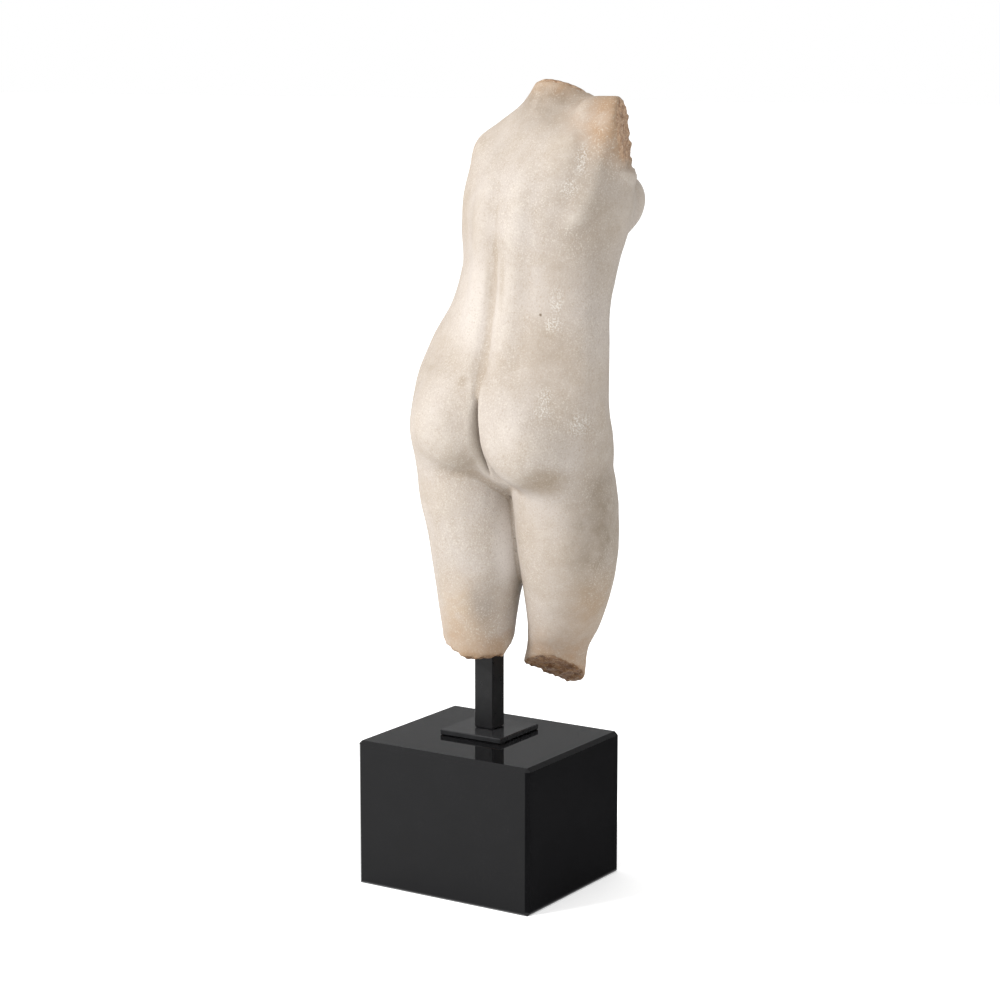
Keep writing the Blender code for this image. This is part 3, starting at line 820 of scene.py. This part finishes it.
def painted_material(name, base, roughness):
    """Black paint with a slightly uneven gloss."""
    n = Nodes(name)
    colour = n.mix(n.ramp(n.noise(70.0, 4.0, 0.6), 0.35, 0.7), base, tuple(1.35 * v for v in base))
    n.join(colour, n.shader.inputs["Base Color"])
    n.join(n.ramp(n.noise(160.0, 4.0, 0.65), 0.3, 0.7, roughness * 0.8, roughness * 1.25),
           n.shader.inputs["Roughness"])
    n.join(n.bump(n.noise(1100.0, 2.0, 0.5), 0.10, 0.00005), n.shader.inputs["Normal"])
    n.shader.inputs["Specular IOR Level"].default_value = 0.3
    return n.material


def dress(name, material, edge):
    """Gives a CAD piece its material, and a fine rounding along its edges that catches the light."""
    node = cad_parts[name]
    node.data.materials.clear()
    node.data.materials.append(material)
    soft = node.modifiers.new("soft_edges", "BEVEL")
    soft.width = edge
    soft.segments = 4
    soft.limit_method = "ANGLE"
    soft.angle_limit = math.radians(20.0)
    soft.harden_normals = True


post_low, post_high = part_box("post")
post_centre = ((post_low[0] + post_high[0]) / 2.0, (post_low[1] + post_high[1]) / 2.0)
leg_break = post_low[2] + POST_SHOWN
torso = carved_torso((post_centre[0], post_centre[1], leg_break), FIGURE_HEIGHT / FIGURE_PARTS)
cut_socket(torso, post_centre, leg_break, SOCKET_DEPTH)
torso.data.materials.clear()
torso.data.materials.append(stone_material())
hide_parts("torso")
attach(torso, "root")

plinth_black = polished_material("mirror_black_stone", (0.005, 0.005, 0.0055), 0.03, (0.013, 0.013, 0.014))
dress("plinth", plinth_black, 0.0012)
dress("foot_plate", painted_material("gloss_black_plate", (0.018, 0.018, 0.019), 0.12), 0.0006)
dress("post", painted_material("satin_black_post", (0.008, 0.008, 0.0085), 0.34), 0.0005)


# Studio: a wide pale floor, a wall and two cards that only reflections see, the key light and the camera
FLOOR_HALF = 30.0
WALL_RADIUS = 5.0
WALL_SIDES = 48
WALL_HEIGHTS = (0.02, 4.0)
CARD_HEIGHT = 0.002
KEY_FORWARD, KEY_LEFT, KEY_UP = 1.35, 2.85, 1.9
KEY_SIZE = 0.95
KEY_POWER = 140.0


def plain_material(name, colour, roughness, glow=0.0):
    material = bpy.data.materials.new(name)
    material.use_nodes = True
    shader = material.node_tree.nodes["Principled BSDF"]
    shader.inputs["Base Color"].default_value = (*colour, 1.0)
    shader.inputs["Roughness"].default_value = roughness
    shader.inputs["Specular IOR Level"].default_value = 0.1
    shader.inputs["Emission Color"].default_value = (1.0, 1.0, 1.0, 1.0)
    shader.inputs["Emission Strength"].default_value = glow
    return material


def stage_mesh(name, corners, faces, material):
    """A mesh that belongs to the studio, not to the object."""
    mesh = bpy.data.meshes.new(name)
    mesh.from_pydata(corners, [], faces)
    mesh.materials.append(material)
    obj = bpy.data.objects.new(name, mesh)
    bpy.context.scene.collection.objects.link(obj)
    return obj


def only_in_reflections(obj):
    obj.visible_camera = False
    obj.visible_diffuse = False
    obj.visible_shadow = False
    obj.visible_transmission = False


def flat_sheet(name, low, high, z, material):
    corners = [(low[0], low[1], z), (high[0], low[1], z), (high[0], high[1], z), (low[0], high[1], z)]
    return stage_mesh(name, corners, [(0, 1, 2, 3)], material)


flat_sheet("floor", (-FLOOR_HALF, -FLOOR_HALF), (FLOOR_HALF, FLOOR_HALF), 0.0,
           plain_material("floor_white", (0.88, 0.88, 0.88), 0.9, 0.35))
wall_grey = plain_material("wall_grey", (0.235, 0.235, 0.235), 1.0)
card_dark = plain_material("card_dark", (0.05, 0.05, 0.05), 1.0)
card_middle = plain_material("card_middle", (0.62, 0.62, 0.62), 1.0)
angles = [2 * math.pi * side / WALL_SIDES for side in range(WALL_SIDES)]
ring = [(WALL_RADIUS * math.cos(angle), WALL_RADIUS * math.sin(angle), z)
        for z in WALL_HEIGHTS for angle in angles]
panels = [(side, (side + 1) % WALL_SIDES, WALL_SIDES + (side + 1) % WALL_SIDES, WALL_SIDES + side)
          for side in range(WALL_SIDES)]
only_in_reflections(stage_mesh("reflected_wall", ring, panels, wall_grey))
for name, low, high, grey in (("dark_card", (-3.0, -3.0), (-0.094, 1.2), card_dark),
                              ("middle_card", (-0.094, 0.0815), (3.0, 3.0), card_middle)):
    only_in_reflections(flat_sheet(name, low, high, CARD_HEIGHT, grey))

azimuth, pitch = math.radians(CAMERA_AZIMUTH), math.radians(CAMERA_PITCH)
away = Vector((math.sin(azimuth) * math.cos(pitch), -math.cos(azimuth) * math.cos(pitch), math.sin(pitch)))
right = Vector((math.cos(azimuth), math.sin(azimuth), 0.0))
up = Vector((0.0, 0.0, 1.0))
target = Vector(CAMERA_TARGET)

lamp = bpy.data.lights.new("key", "AREA")
lamp.shape = "SQUARE"
lamp.size = KEY_SIZE
lamp.energy = KEY_POWER
key = bpy.data.objects.new("key", lamp)
bpy.context.scene.collection.objects.link(key)
key.location = target + away * KEY_FORWARD - right * KEY_LEFT + up * KEY_UP
key.rotation_mode = "QUATERNION"
key.rotation_quaternion = (key.location - target).to_track_quat("Z", "Y")

world = bpy.data.worlds.new("studio")
world.use_nodes = True
world.node_tree.nodes["Background"].inputs[0].default_value = (1.0, 1.0, 1.0, 1.0)
world.node_tree.nodes["Background"].inputs[1].default_value = 1.0
bpy.context.scene.world = world

camera = bpy.data.objects.new("camera", bpy.data.cameras.new("camera"))
bpy.context.scene.collection.objects.link(camera)
camera.data.sensor_width = 36.0
camera.data.lens = CAMERA_LENS
camera.location = target + away * CAMERA_DISTANCE
camera.rotation_mode = "QUATERNION"
camera.rotation_quaternion = away.to_track_quat("Z", "Y")
bpy.context.scene.camera = camera
bpy.context.scene.view_settings.view_transform = "Standard"
